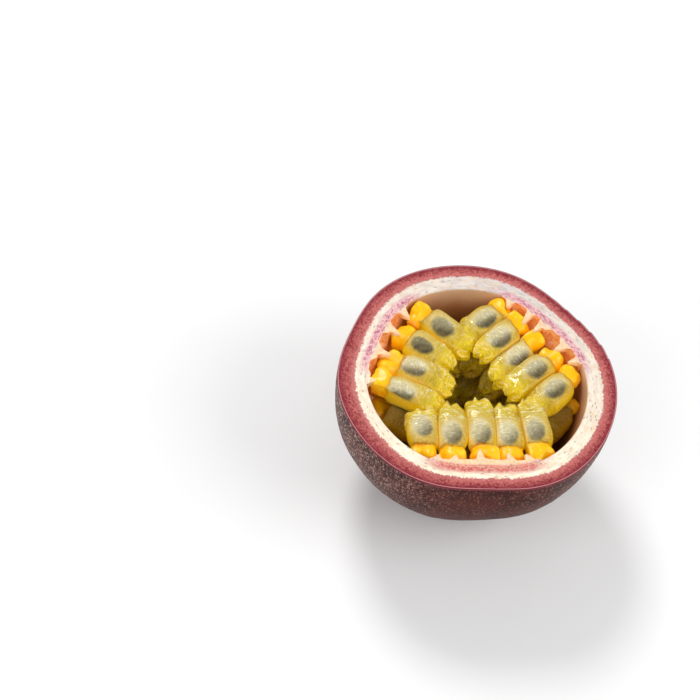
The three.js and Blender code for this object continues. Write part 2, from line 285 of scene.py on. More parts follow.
def layer_point(inset, azimuth, polar):
    """A point of the layer inset mm under the skin: a quarter ellipse turned round the axis, pressed in at
    the placentas. polar runs from 0 at the cut to a quarter turn at the low end."""
    depth = (POLE_DEPTH - inset) * np.sin(polar)
    level = np.sqrt(np.clip(1 - (depth / POLE_DEPTH) ** 2, 0, 1))
    radius = (RADIUS - inset) * np.cos(polar) * (1 - flattening_at(azimuth) * level)
    x = radius * np.cos(azimuth) - MIDDLE[0]
    y = radius * np.sin(azimuth) - MIDDLE[1]
    return np.stack([x, y, np.broadcast_to(CUT_HEIGHT - depth, x.shape)], axis=-1)


def layer_radius(inset, azimuth, depth):
    """Distance from the axis of the layer inset mm under the skin, at a depth."""
    level = np.sqrt(np.clip(1 - (depth / (POLE_DEPTH - inset)) ** 2, 0, 1))
    return (RADIUS - inset) * level * (1 - flattening_at(azimuth) * level)


# ---------- meshes from grids

def grid_faces(rows, columns, start):
    """Quads of a grid that is closed along its columns and whose first point has the number start."""
    row, column = np.meshgrid(np.arange(rows - 1), np.arange(columns), indexing="ij")
    ahead = (column + 1) % columns
    here = row * columns
    below = here + columns
    corners = [here + column, here + ahead, below + ahead, below + column]
    return np.stack(corners, axis=-1).reshape(-1, 4) + start


def mesh_piece(name, grids, finish, replaced=(), marks=None, flow=None):
    """One piece from closed grids of points in mm. Marks are named values at its points, for its material,
    and flow is the place at which streaks are looked up."""
    points = np.concatenate([grid.reshape(-1, 3) for grid in grids]) * MM
    faces = []
    start = 0
    for grid in grids:
        rows, columns = grid.shape[:2]
        faces.append(grid_faces(rows, columns, start))
        start += rows * columns
    mesh = bpy.data.meshes.new(name)
    mesh.from_pydata(points.tolist(), [], np.concatenate(faces).tolist())
    for mark, values in (marks or {}).items():
        layer = mesh.attributes.new(mark, "FLOAT", "POINT")
        layer.data.foreach_set("value", values.ravel().astype(np.float32))
    if flow is not None:
        layer = mesh.attributes.new("flow", "FLOAT_VECTOR", "POINT")
        layer.data.foreach_set("vector", (flow * MM).ravel().astype(np.float32))
    shape = bmesh.new()
    shape.from_mesh(mesh)
    bmesh.ops.remove_doubles(shape, verts=shape.verts, dist=MERGE_DISTANCE)
    bmesh.ops.dissolve_degenerate(shape, edges=shape.edges, dist=SLIVER_LENGTH)
    bmesh.ops.recalc_face_normals(shape, faces=shape.faces)
    shape.to_mesh(mesh)
    shape.free()
    mesh.polygons.foreach_set("use_smooth", [True] * len(mesh.polygons))
    piece = bpy.data.objects.new(name, mesh)
    bpy.context.scene.collection.objects.link(piece)
    mesh.materials.append(finish)
    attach(piece, "root")
    if replaced:
        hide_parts(*replaced)


# ---------- materials

def paint(red, green, blue):
    """A screen colour, 0 to 255 each, as the linear colour a shader takes."""
    parts = np.array([red, green, blue]) / 255
    linear = np.where(parts <= 0.04045, parts / 12.92, ((parts + 0.055) / 1.055) ** 2.4)
    return (*linear.tolist(), 1.0)


class Term:
    """A socket with a value on it. Arithmetic on terms adds Math nodes."""

    def __init__(self, finish, socket):
        self.finish = finish
        self.socket = socket

    def __add__(self, other):
        return self.finish.math("ADD", self, other)

    def __sub__(self, other):
        return self.finish.math("SUBTRACT", self, other)

    def __rsub__(self, other):
        return self.finish.math("SUBTRACT", other, self)

    def __mul__(self, other):
        return self.finish.math("MULTIPLY", self, other)

    __radd__ = __add__
    __rmul__ = __mul__


class Finish:
    """A material under construction."""

    def __init__(self, name):
        self.material = bpy.data.materials.new(name)
        self.material.use_nodes = True
        self.tree = self.material.node_tree
        self.tree.nodes.clear()
        self.output = self.node("OutputMaterial")
        self.place = self.term("TexCoord", output="Object")

    def node(self, kind, settings=None, inputs=None):
        """Any node: its settings first, then the values or links of its sockets."""
        node = self.tree.nodes.new("ShaderNode" + kind)
        for key, value in (settings or {}).items():
            setattr(node, key, value)
        for key, value in (inputs or {}).items():
            if isinstance(value, Term):
                self.tree.links.new(value.socket, node.inputs[key])
            else:
                node.inputs[key].default_value = value
        return node

    def term(self, kind, settings=None, inputs=None, output=0):
        """One output of a new node."""
        return Term(self, self.node(kind, settings, inputs).outputs[output])

    def math(self, operation, first, second=0.0):
        return self.term("Math", {"operation": operation}, {0: first, 1: second})

    def smooth(self, value, low, high):
        """0 at low and 1 at high, which may also be the smaller one, with a smooth step between."""
        inputs = {"Value": value, "From Min": low, "From Max": high}
        return self.term("MapRange", {"interpolation_type": "SMOOTHSTEP"}, inputs, "Result")

    def mark(self, name, output="Fac"):
        """A named value at the piece's points."""
        return self.term("Attribute", {"attribute_name": name}, output=output)

    def noise(self, size, detail=2.0, roughness=0.5, place=None):
        """Noise whose features are about size mm, from about 0.2 to 0.8."""
        inputs = {"Vector": place or self.place, "Scale": 1 / (size * MM)}
        return self.term("TexNoise", {}, {**inputs, "Detail": detail, "Roughness": roughness})

    def patches(self, low, high, *noise):
        """Noise made into patches: 0 where it is at low and 1 where it is at high."""
        return self.smooth(self.noise(*noise), low, high)

    def cells(self, size, place=None):
        """Distance to the nearest of the points scattered size mm apart, in units of size, and a random
        value."""
        node = self.node("TexVoronoi", {}, {"Vector": place or self.place, "Scale": 1 / (size * MM)})
        pick = self.term("SeparateColor", {}, {0: Term(self, node.outputs["Color"])})
        return Term(self, node.outputs["Distance"]), pick

    def mix(self, factor, first, second):
        """Colour first where factor is 0 and second where it is 1."""
        return self.term("Mix", {"data_type": "RGBA"}, {0: factor, 6: first, 7: second}, 2)

    def bump(self, height, distance):
        """A normal from a height that is worth distance mm for each 1."""
        return self.term("Bump", {}, {"Height": height, "Distance": distance * MM})

    def surface(self, **sockets):
        """The material, finished by a Principled shader. Its sockets' names have underscores for spaces."""
        inputs = {key.replace("_", " "): value for key, value in sockets.items()}
        shader = self.node("BsdfPrincipled", {}, inputs)
        self.tree.links.new(shader.outputs[0], self.output.inputs["Surface"])
        return self.material


def scatter(weight, red, green, blue):
    """Sockets for light that spreads under the surface, by so many mm in each colour."""
    radius = (red * MM, green * MM, blue * MM)
    return {"Subsurface_Weight": weight, "Subsurface_Radius": radius, "Subsurface_Scale": 1.0}


def cut_colour(finish, inset, blush, flush):
    """Cut flesh by depth under the skin: dark red, red, a feathery edge to cream, and pink bands in the
    cream, where blush and flush are high. Its streaks run round the fruit. Also gives its fine grain."""
    flow = finish.mark("flow", "Vector")
    grain = finish.noise(0.42, 4, 0.75)
    wave = (finish.noise(2.2, 2) - 0.5) * 1.6
    feather = (finish.noise(0.8, 3, 0.65) - 0.5) * 2.6 + (finish.noise(0.34, 2) - 0.5) * 1.6 + wave
    red = finish.mix(finish.smooth(grain, 0.40, 0.60), paint(132, 42, 46), paint(192, 102, 98))
    red = finish.mix(finish.smooth(inset + feather * 0.3, 1.5, 0.1) * 0.8, red, paint(118, 26, 46))
    red = finish.mix(finish.smooth(inset + feather * 0.4, 0.9, 2.5) * 0.55, red, paint(216, 130, 124))
    fleck_distance, fleck_pick = finish.cells(0.5, flow)
    fleck = finish.smooth(fleck_distance, 0.34, 0.14) * finish.smooth(fleck_pick, 0.4, 0.65)
    front = finish.mark("front")
    light_cream = finish.mix(front, paint(216, 206, 201), paint(255, 243, 220))
    dark_cream = finish.mix(front, paint(198, 188, 186), paint(243, 227, 203))
    cream = finish.mix(finish.patches(0.4, 0.6, 0.9, 4, 0.65, flow), light_cream, dark_cream)
    cream = finish.mix(fleck * 0.75, cream, paint(164, 138, 132))
    tan = finish.patches(0.52, 0.66, 0.5, 4, 0.75, flow)
    cream = finish.mix(tan * 0.7, cream, paint(234, 192, 136))
    speckle = finish.noise(0.36, 3, 0.7, flow) * 0.6 + grain * 0.4
    cream = finish.mix(blush * 0.8, cream, paint(230, 174, 182))
    cream = finish.mix(blush * finish.smooth(speckle, 0.46, 0.57) * 0.85, cream, paint(172, 62, 102))
    cream = finish.mix(flush * (0.6 + finish.smooth(grain, 0.42, 0.58) * 0.35), cream, paint(200, 66, 66))
    border = finish.smooth(inset + feather * 0.3 + (grain - 0.5) * 1.4, 2.42, 2.72)
    return finish.mix(border, red, cream), grain


def skin_finish():
    """Maroon skin with pale streaks and dense dots outside, redder at the front, with a scar at the low end
    and red flesh on the cut."""
    finish = Finish("skin_and_red_flesh")
    inset = finish.mark("inset")
    below = finish.mark("below_cut")
    flow = finish.mark("flow", "Vector")
    cover = finish.patches(0.36, 0.64, 7.0, 4, 0.6)
    ruddy = finish.mark("ruddy")
    skin = finish.mix(cover, paint(42, 10, 9), paint(70, 24, 19))
    streak = finish.noise(0.5, 4, 0.72, flow)
    streaks = finish.smooth(streak, 0.47, 0.58) * (0.38 + cover * 0.3 - ruddy * 0.05)
    skin = finish.mix(streaks, skin, finish.mix(ruddy, paint(172, 136, 126), paint(92, 34, 22)))
    wander = (finish.noise(1.2, 3, 0.6, flow) - 0.5) * 0.4
    dot_distance, dot_pick = finish.cells(0.52, flow)
    dots = finish.smooth(dot_distance + wander, 0.4, 0.16) * finish.smooth(dot_pick, 0.0, 0.3)
    small_distance, small_pick = finish.cells(0.3, flow)
    small = finish.smooth(small_distance + wander, 0.42, 0.14) * finish.smooth(small_pick, 0.3, 0.8)
    pale = finish.math("MAXIMUM", dots, small * 0.8)
    dot_colour = finish.mix(ruddy, paint(210, 182, 172), paint(152, 98, 76))
    skin = finish.mix(pale * (0.85 - ruddy * 0.3), skin, dot_colour)
    edge = finish.smooth(below + finish.noise(0.8, 2) * 0.8, 1.3, 0.5)
    skin = finish.mix(edge * 0.9, skin, paint(112, 18, 44))
    skin = finish.mix(finish.mark("scar"), skin, paint(70, 48, 34))
    flesh, grain = cut_colour(finish, inset, 0.0, 0.0)
    on_cut = finish.smooth(inset, 0.03, 0.1)
    colour = finish.mix(on_cut, skin, flesh)
    # the pale pink line along the lip: partly the cut skin's own paler edge, partly a painted highlight on it
    colour = finish.mix(finish.mark("edge") * 0.9, colour, paint(238, 166, 164))
    rough = 0.46 + finish.smooth(streak, 0.3, 0.7) * 0.14 + on_cut * 0.08
    relief = (1 - on_cut) * (pale * 0.5 + streak * 0.4) + on_cut * grain * 1.6
    normal = finish.bump(relief, 0.06)
    return finish.surface(Base_Color=colour, Roughness=rough, Normal=normal, Specular_IOR_Level=0.14)


def pith_finish():
    """Cream cut face of the pith, and the wall of the cavity: tan near the cut, with painted shade that
    darkens it to brown deeper down.
    """
    finish = Finish("pith_and_cavity_wall")
    inset = finish.mark("inset")
    depth = finish.mark("wall_depth")
    face, grain = cut_colour(finish, inset, finish.mark("blush"), finish.mark("flush"))
    cloud = finish.noise(3.0, 3)
    # painted shade: the wall is painted from tan near the cut to dark brown deeper in the cavity
    wall = finish.mix(finish.smooth(depth + cloud * 1.5, 0.5, 7.0), paint(216, 178, 146), paint(176, 118, 76))
    wall = finish.mix(finish.smooth(depth, 6.0, 14.0), wall, paint(110, 56, 18))
    on_wall = finish.smooth(depth, 0.05, 0.5)
    colour = finish.mix(on_wall, face, wall)
    rough = 0.62 - on_wall * 0.2
    normal = finish.bump(grain * (1 - on_wall * 0.8), 0.08)
    return finish.surface(Base_Color=colour, Roughness=rough, Normal=normal, **scatter(0.2, 0.5, 0.4, 0.3))


def placenta_finish():
    """Peach to orange lining, cream on its pegs and glowing a little in its sockets, with the cut flesh's
    colours on its cut."""
    finish = Finish("placenta_lining")
    pit = finish.mark("pit")
    face = finish.mark("cut_face")
    colour = finish.mix(finish.patches(0.4, 0.62, 0.8, 3), paint(250, 190, 124), paint(236, 138, 56))
    wet = finish.patches(0.4, 0.6, 0.7, 3, 0.6)
    socket = finish.mix(wet, paint(244, 146, 70), paint(255, 206, 150))
    colour = finish.mix(finish.smooth(pit, 0.2, 0.8), colour, socket)
    colour = finish.mix(finish.smooth(finish.mark("peg"), 0.12, 0.6), colour, paint(252, 208, 160))
    inset = finish.mark("inset")
    cut, _ = cut_colour(finish, inset, finish.mark("blush"), finish.mark("flush"))
    spots = finish.patches(0.46, 0.6, 0.5, 4, 0.7)
    near = finish.smooth(inset, 5.7, 6.3)
    cut = finish.mix(near * 0.9, cut, finish.mix(spots, paint(252, 214, 172), paint(250, 192, 140)))
    colour = finish.mix(face, colour, cut)
    glow = finish.mix(pit, paint(0, 0, 0), paint(255, 150, 60))
    normal = finish.bump(finish.noise(0.7, 3), 0.35)
    return finish.surface(
        Base_Color=colour, Roughness=0.3, Normal=normal, Coat_Weight=0.5, Coat_Roughness=0.1,
        Emission_Color=glow, Emission_Strength=0.1, **scatter(0.3, 0.5, 0.3, 0.15))


def gel_finish(name, dim):
    """Wet jelly: an orange cap, a yellow body where a dark seed shows, pale seams, and a lemon tip. Painted
    light
    on it: the body paler towards the key light, a milky sheen and glints painted over each seed, highlights
    painted on the tip's wrinkles and the cap's top, shade painted in the tip's creases and the cap's waist,
    and deeper yellow sides and a faint yellow glow that stand in for light through the jelly. dim, from 0 to
    0.5,
    is painted shade: how much browner and duller it is painted, as it lies deeper."""
    finish = Finish(name)
    cap = finish.mark("cap")
    tip = finish.mark("tip")
    crest = finish.mark("crest")
    lit = finish.mark("lit")
    flow = finish.mark("flow", "Vector")
    cloud = finish.noise(1.4, 3)
    grain = finish.noise(0.5, 3, 0.6)
    wrinkle = finish.math("ABSOLUTE", finish.noise(2.0, 2, 0.45, flow) - 0.5)
    # painted light: the body is paler on its side towards the key light
    colour = finish.mix(lit, paint(204, 162, 6), paint(214, 184, 84))
    colour = finish.mix(finish.smooth(grain, 0.42, 0.6) * (0.45 - tip * 0.4), colour, paint(232, 208, 122))
    colour = finish.mix(tip * 0.8, colour, paint(230, 204, 8))
    # deeper yellow on the sides, painted to stand in for light seen through the jelly's thin sides
    colour = finish.mix(finish.smooth(finish.mark("flank"), 0.6, 0.97) * 0.9, colour, paint(230, 188, 0))
    # painted shade: darker yellow in the valleys between the tip's creases
    painted_crease_shade = finish.smooth(crest + (grain - 0.5) * 0.8, 0.15, -0.35)
    colour = finish.mix(painted_crease_shade * tip * 0.6, colour, paint(186, 142, 0))
    # painted highlight: pale lines on the crests of the wrinkles
    painted_ridge_highlight = finish.smooth(wrinkle, 0.035, 0.0)
    colour = finish.mix(painted_ridge_highlight * (0.1 + tip * 0.3), colour, paint(248, 232, 150))
    glint = finish.patches(0.53, 0.59, 1.3, 4, 0.65, flow) * finish.smooth(tip, 0.05, 0.4)
    # painted glints on the tip, strongest on the side towards the key light
    colour = finish.mix(glint * lit * 0.8, colour, paint(254, 244, 200))
    patch = finish.patches(0.4, 0.6, 0.8, 4, 0.7)
    seed_shade = finish.mix(patch, paint(8, 8, 0), paint(88, 76, 34))
    seed_shows = finish.smooth(finish.mark("over_seed") + (cloud - 0.5) * 0.5, 0.15, 0.85) * 0.95
    colour = finish.mix(seed_shows * (1 - dim * 2), colour, seed_shade)
    # painted sheen: a milky pale reflection painted over the seed's side towards the light, in patches
    painted_sheen_amount = finish.patches(0.4, 0.6, 0.7, 4, 0.7, flow)
    sheen = finish.mark("sheen") * (1 - dim)
    colour = finish.mix(sheen * (0.75 + painted_sheen_amount * 0.25) * 0.95, colour, paint(236, 224, 178))
    # painted glints: bright specks over the painted sheen
    painted_sheen_glint = finish.patches(0.55, 0.62, 1.0, 3, 0.6, flow)
    colour = finish.mix(sheen * painted_sheen_glint * 0.6, colour, paint(252, 248, 228))
    capward = finish.smooth(cap + (finish.noise(1.2, 2) - 0.5) * 0.9, 0.3, 0.75)
    # painted light: the cap's orange is lighter towards its top, where the light falls
    orange = finish.mix(finish.mark("crown"), paint(236, 138, 0), paint(252, 190, 4))
    # painted highlights: pale yellow patches on the cap
    orange = finish.mix(finish.patches(0.54, 0.64, 1.6, 2) * 0.5, orange, paint(255, 218, 60))
    # painted shade: darker orange in the narrowing behind the cap's knob
    orange = finish.mix(finish.mark("waist") * 0.4, orange, paint(226, 132, 10))
    colour = finish.mix(capward, colour, orange)
    colour = finish.mix(finish.mark("seam") * 0.75, colour, paint(252, 206, 130))
    # painted shade: deeper jelly is painted darker and browner, with less seed, sheen and glow showing
    if dim:
        colour = finish.mix(dim, colour, paint(104, 62, 0))
    fine = finish.math("ABSOLUTE", finish.noise(0.6, 2, 0.5, flow) - 0.5)
    relief = (1 - wrinkle * (0.3 + tip * 1.2) - fine * 0.3) * (1 - capward * 0.8)
    normal = finish.bump(relief, 1.7)
    # painted glow: sides, seams, tip and cap give off a faint yellow light, standing in for light through the
    # jelly
    edge = finish.math("MAXIMUM", finish.smooth(finish.mark("flank"), 0.6, 1.0), finish.mark("seam"))
    edge = finish.math("MAXIMUM", edge, finish.smooth(tip, 0.6, 1.0))
    glow = finish.mix(edge * (1 - dim * 2), paint(0, 0, 0), paint(248, 204, 20))
    glow = finish.mix(capward * (0.5 - 0.5 * dim), glow, paint(255, 184, 0))
    coat = (0.05 + tip * 0.85 + capward * 0.15) * (1 - dim * 1.6)
    return finish.surface(
        Base_Color=colour, Roughness=0.2 - capward * 0.06, Normal=normal, Coat_Weight=coat,
        Coat_Roughness=0.05, IOR=1.33, Emission_Color=glow, Emission_Strength=0.18,
        **scatter(0.6, 0.8, 0.7, 0.15))


def seed_finish():
    """Grey-green seed coat in two shades, pitted."""
    finish = Finish("seed_coat")
    colour = finish.mix(finish.patches(0.35, 0.65, 1.4, 3), paint(52, 54, 38), paint(104, 104, 78))
    pits, _ = finish.cells(0.45)
    normal = finish.bump(finish.smooth(pits, 0.1, 0.5), 0.08)
    return finish.surface(
        Base_Color=colour, Roughness=0.35, Normal=normal, Coat_Weight=0.3, Coat_Roughness=0.2)


def pulp_finish():
    """Dark wet pulp at the bottom of the cavity."""
    finish = Finish("deep_pulp")
    colour = finish.mix(finish.patches(0.35, 0.65, 2.2, 3), paint(110, 74, 8), paint(164, 128, 22))
    normal = finish.bump(finish.noise(1.0, 3), 0.4)
    return finish.surface(
        Base_Color=colour, Roughness=0.3, Normal=normal, Coat_Weight=0.3, Coat_Roughness=0.1,
        **scatter(0.4, 1.5, 1.0, 0.2))


# ---------- shell and pith

def ring(count):
    """Azimuths of so many points round the fruit, as one row."""
    return (np.arange(count) / count * 2 * np.pi)[None, :]


def knife_steps(azimuth):
    """Small flats left by the knife on one stretch of the rim: a sawtooth within a smooth window."""
    turn = apart(azimuth, KNIFE_AZIMUTH)
    window = smoothstep(np.abs(turn), KNIFE_END, KNIFE_FULL)
    saw = (turn / KNIFE_STEP) % 1
    return window * KNIFE_RELIEF * (saw - 0.5)


def skin_grid(azimuth, polar):
    """The skin from the low end up to the cut: the outermost layer, moved outwards by noise in two sizes and
    by a broad bulge at the front left. It has the knife's flats near the cut, and its low end is flat
    with a small dimple."""
    skin = layer_point(0.0, azimuth, polar)
    depth = CUT_HEIGHT - skin[..., 2]
    dents = 0.10 * lattice_noise(skin, 6.0, 1) + 0.03 * lattice_noise(skin, 1.4, 2)
    bulge = BULGE * bell(apart(azimuth, BULGE_AZIMUTH), 0, 55) * bell(depth, BULGE_DEPTH, 8)
    relief = (dents + bulge) * smoothstep(depth, 0.0, 3.0)
    outward = unit(skin - axis_point(0))
    skin += outward * relief[..., None]
    skin[..., :2] += outward[..., :2] * (knife_steps(azimuth) * bell(depth, 0, 1.6))[..., None]
    skin[..., 2] = np.maximum(skin[..., 2], DIMPLE_DEPTH * bell(from_axis(skin), 0, DIMPLE_RADIUS))
    return skin


def rim_grid(azimuth):
    """The shell's cut, from the skin to the seam, and its insets: a quarter circle for the lip, then a plane
    with slight relief, moved with the knife's flats."""
    turn = np.linspace(0, np.pi / 2, 5)[1:-1, None]
    inset = np.concatenate([LIP * (1 - np.cos(turn)), np.linspace(LIP, SEAM, 16)[:, None]])
    rim = layer_point(inset, azimuth, np.zeros_like(inset))
    steps = knife_steps(azimuth) * smoothstep(inset, 2.4, 0.2)
    rim[..., :2] += (rim[..., :2] + MIDDLE) / RADIUS * steps[..., None]
    rim[..., 2] -= LIP * smoothstep(inset, LIP, 0.0)
    rim[..., 2] -= RIM_SINK + RIM_RELIEF * lattice_noise(rim, 1.1, 3)
    return rim, inset


def joined_insets(parts):
    """The inset at each point of grids joined row after row, from pairs of a grid and its insets."""
    return np.concatenate([np.broadcast_to(inset, grid.shape[:2]) for grid, inset in parts])


def tone_inset(inset, azimuth):
    """Inset at which the flesh's tone is looked up: less at the left, where the red reaches further in."""
    return inset - RED_REACH * bell(apart(azimuth, RED_AZIMUTH), 0, 50) * smoothstep(inset, 0.6, 2.4)


def front_share(azimuth):
    """1 at the front, where the pith is creamier, and 0 at the back: the root of half of 1 less the sine."""
    return np.sqrt(0.5 - 0.5 * np.sin(azimuth))


def streak_place(azimuth, inset):
    """Where the streaks of the cut flesh are looked up: a ring drawn in to 0.28 of its radius, so that they
    run round the fruit, with the inset as height."""
    ring_radius = RADIUS * 0.28
    azimuth = np.broadcast_to(azimuth, inset.shape)
    return np.stack([ring_radius * np.cos(azimuth), ring_radius * np.sin(azimuth), inset], axis=-1)


def make_shell():
    """Skin from the low end up to a small rounded lip, over the cut to the seam, and down inside. Its marks
    are its inset, its depth, the pale line along the lip, which is partly a painted highlight, the ruddy
    stretch at the front and the scar."""
    azimuth = ring(384)
    polar = np.radians(90) * (1 - np.linspace(0, 1, 120)[:, None] ** 0.9)
    skin = skin_grid(azimuth, polar)
    rim, rim_inset = rim_grid(azimuth)
    inner = layer_point(SEAM, azimuth, np.radians(np.linspace(0, 90, 10)[1:, None]))
    inset = joined_insets([(skin, 0.0), (rim, rim_inset), (inner, SEAM)])
    whole = np.concatenate([skin, rim, inner])
    depth = CUT_HEIGHT - whole[..., 2]
    marks = {
        "inset": tone_inset(inset, azimuth),
        "below_cut": depth,
        # the lip's pale line, partly paler skin and partly a painted highlight
        "edge": bell(inset + np.maximum(depth - 0.1, 0), 0.13, 0.07),
        "ruddy": bell(apart(azimuth, RUDDY_AZIMUTH), 0, 48) * np.ones_like(inset),
        "scar": bell(from_axis(whole), 0, SCAR_RADIUS) * (whole[..., 2] < 1),
    }
    flow = streak_place(azimuth, inset)
    flow[:len(skin)] = skin + np.array([*MIDDLE, 0.0])
    flow[:len(skin), :, 2] = polar * RADIUS * 0.7
    mesh_piece("skin_and_red_flesh", [whole], skin_finish(), ["shell"], marks, flow)


def band(azimuth, inset, middle, reach, depth, width):
    """A band that runs round the pith at a depth under the skin, fading at its ends."""
    edge = smoothstep(np.abs(inset - depth), width * 1.35, width * 0.35)
    return smoothstep(np.abs(apart(azimuth, middle)), reach, reach * 0.55) * edge


def pith_bands(azimuth, inset):
    """The pink bands behind the left and right placentas, and the redder one behind the front placenta."""
    blush = band(azimuth, inset, 164, 36, 5.0, 0.95) + band(azimuth, inset, 58, 40, 5.1, 0.85)
    return blush, band(azimuth, inset, 288, 38, 5.0, 1.25)


def make_pith():
    """The hidden outside of the pith, its cut from the seam to the cavity, an edge rounded by a quarter
    circle, and the cavity's wall down to the low end, with noise for relief."""
    azimuth = ring(320)
    outside = layer_point(SEAM - SEAM_LAP, azimuth, np.radians(np.linspace(90, 0, 14)[:, None]))
    outside[..., 2] -= LAP_SINK
    face_inset = np.linspace(SEAM, CAVITY_INSET - INNER_EDGE, 16)[:, None]
    face = layer_point(face_inset, azimuth, np.zeros_like(face_inset))
    face[..., 2] -= FACE_SINK + FACE_RELIEF * lattice_noise(face, 1.3, 4)
    turn = np.linspace(0, np.pi / 2, 6)[1:, None]
    edge_inset = CAVITY_INSET - INNER_EDGE + INNER_EDGE * np.sin(turn)
    edge = layer_point(edge_inset, azimuth, np.zeros_like(edge_inset))
    edge[..., 2] -= FACE_SINK + INNER_EDGE * (1 - np.cos(turn))
    start = math.asin((INNER_EDGE + FACE_SINK) / (POLE_DEPTH - CAVITY_INSET))
    wall = layer_point(CAVITY_INSET, azimuth, np.linspace(start, np.pi / 2, 70)[1:, None])
    wall += WALL_RELIEF * lattice_noise(wall, 3.0, 5)[..., None]
    inset = joined_insets([(outside, SEAM - SEAM_LAP), (face, face_inset), (edge, edge_inset),
                           (wall, CAVITY_INSET)])
    whole = np.concatenate([outside, face, edge, wall])
    wall_depth = CUT_HEIGHT - whole[..., 2]
    wall_depth[:len(outside) + len(face)] = 0
    around = np.broadcast_to(azimuth, inset.shape)
    blush, flush = pith_bands(around, inset)
    marks = {
        "inset": tone_inset(inset, azimuth),
        "wall_depth": wall_depth,
        "blush": blush,
        "flush": flush,
        "front": front_share(around),
    }
    flow = streak_place(azimuth, inset)
    mesh_piece("pith_and_cavity_wall", [whole], pith_finish(), ["pith"], marks, flow)


# ---------- placentas

def pegs_and_pits(cluster, azimuth, depth):
    """Over azimuth and depth, how far the pegs stand out, and how deep the sockets are from 0 to 1: a tapered
    peak for each peg and a round pit for each socket, in each row."""
    pegs = np.zeros_like(depth)
    pits = np.zeros_like(depth)
    arc = math.radians(1) * (RADIUS - PLACENTA_INSET)
    for row_depth, share in PEG_ROWS:
        for peg_azimuth, length in cluster["pegs"]:
            gap = np.hypot(apart(azimuth, peg_azimuth) * arc, (depth - row_depth) * DOWN_SHARE)
            peak = 0.85 * smoothstep(gap, PEG_FOOT, PEG_TOP) + 0.15 * smoothstep(gap, 0.6, 0.1)
            pegs = np.maximum(pegs, share * PEG_SHARE * length * peak)
        for pit_azimuth in cluster["sockets"]:
            down = (depth - row_depth - SOCKET_DROP) * DOWN_SHARE
            gap = np.hypot(apart(azimuth, pit_azimuth) * arc, down)
            pits = np.maximum(pits, smoothstep(gap, SOCKET_RIM, SOCKET_FLOOR))
    return pegs, pits


def make_placenta(cluster):
    """A pad on the cavity wall. Over azimuth and depth its height is a low arch, plus the pegs, minus the
    sockets, plus creases. Its other side lies in the pith, and its top is cut level by a lid."""
    across = np.linspace(-1, 1, 150)
    down = np.concatenate([np.linspace(0, 0.22, 40), np.linspace(0.22, 1, 60)[1:]])
    column, row = np.meshgrid(across, down)
    azimuth = np.radians(cluster["azimuth"] + column * PLACENTA_SPAN)
    ground = layer_point(CAVITY_INSET, azimuth, row * math.radians(PLACENTA_REACH))
    arch = (1 - np.abs(column) ** 2.5) * smoothstep(1 - row, 0, 0.12)
    creases = 0.12 * arch * lattice_noise(ground, 1.3, 6)
    pegs, pits = pegs_and_pits(cluster, azimuth, CUT_HEIGHT - ground[..., 2])
    height = PLACENTA_EDGE + (PLACENTA + cluster["pad"]) * arch + creases + pegs * smoothstep(arch, 0, 0.2)
    height = height - cluster["pit"] * pits * smoothstep(pegs, 1.6, 0.5) * arch
    height = np.maximum(height, PLACENTA_LEAST)
    inward = axis_point(0) - ground
    inward[..., 2] = 0
    inward = unit(inward)
    top = ground + inward * height[..., None]
    under = ground - inward * PLACENTA_EDGE
    for side in (top, under):
        side[..., 2] = np.minimum(side[..., 2], CUT_HEIGHT - PLACENTA_LEAST)
    loop = np.concatenate([top, under[:, ::-1]], axis=1)
    middle = (top + under) / 2
    spine = np.concatenate([middle, middle[:, ::-1]], axis=1)
    lid = [loop[:1] + (spine[:1] - loop[:1]) * share for share in np.linspace(1, 0.2, 5)]
    whole = np.concatenate([*lid, loop, spine[-1:]])

    def marked(values, lid_value=None):
        """A mark of the pad on the whole grid, where the lid has its own value or that of its edge."""
        both = np.concatenate([values, values[:, ::-1]], axis=1)
        first = both[:1] if lid_value is None else np.full_like(both[:1], lid_value)
        return np.concatenate([np.repeat(first, len(lid), axis=0), both, both[-1:]])

    bearing = np.arctan2(whole[..., 1] + MIDDLE[1], whole[..., 0] + MIDDLE[0])
    inset = RADIUS - from_axis(whole) / (1 - flattening_at(bearing))
    blush, flush = pith_bands(bearing, inset)
    marks = {
        "peg": marked(np.clip(pegs / 1.5, 0, 1)),
        "pit": marked(pits * smoothstep(pegs, 0.6, 0.2)),
        "cut_face": marked(np.zeros_like(pegs), 1.0),
        "inset": inset,
        "blush": blush,
        "flush": flush,
        "front": front_share(bearing),
    }
    name = cluster["name"]
    mesh_piece(f"placenta_lining_{name}", [whole], placenta_finish(), [f"placenta_{name}"],
               marks, streak_place(bearing, inset))


# ---------- juice sacs and seeds

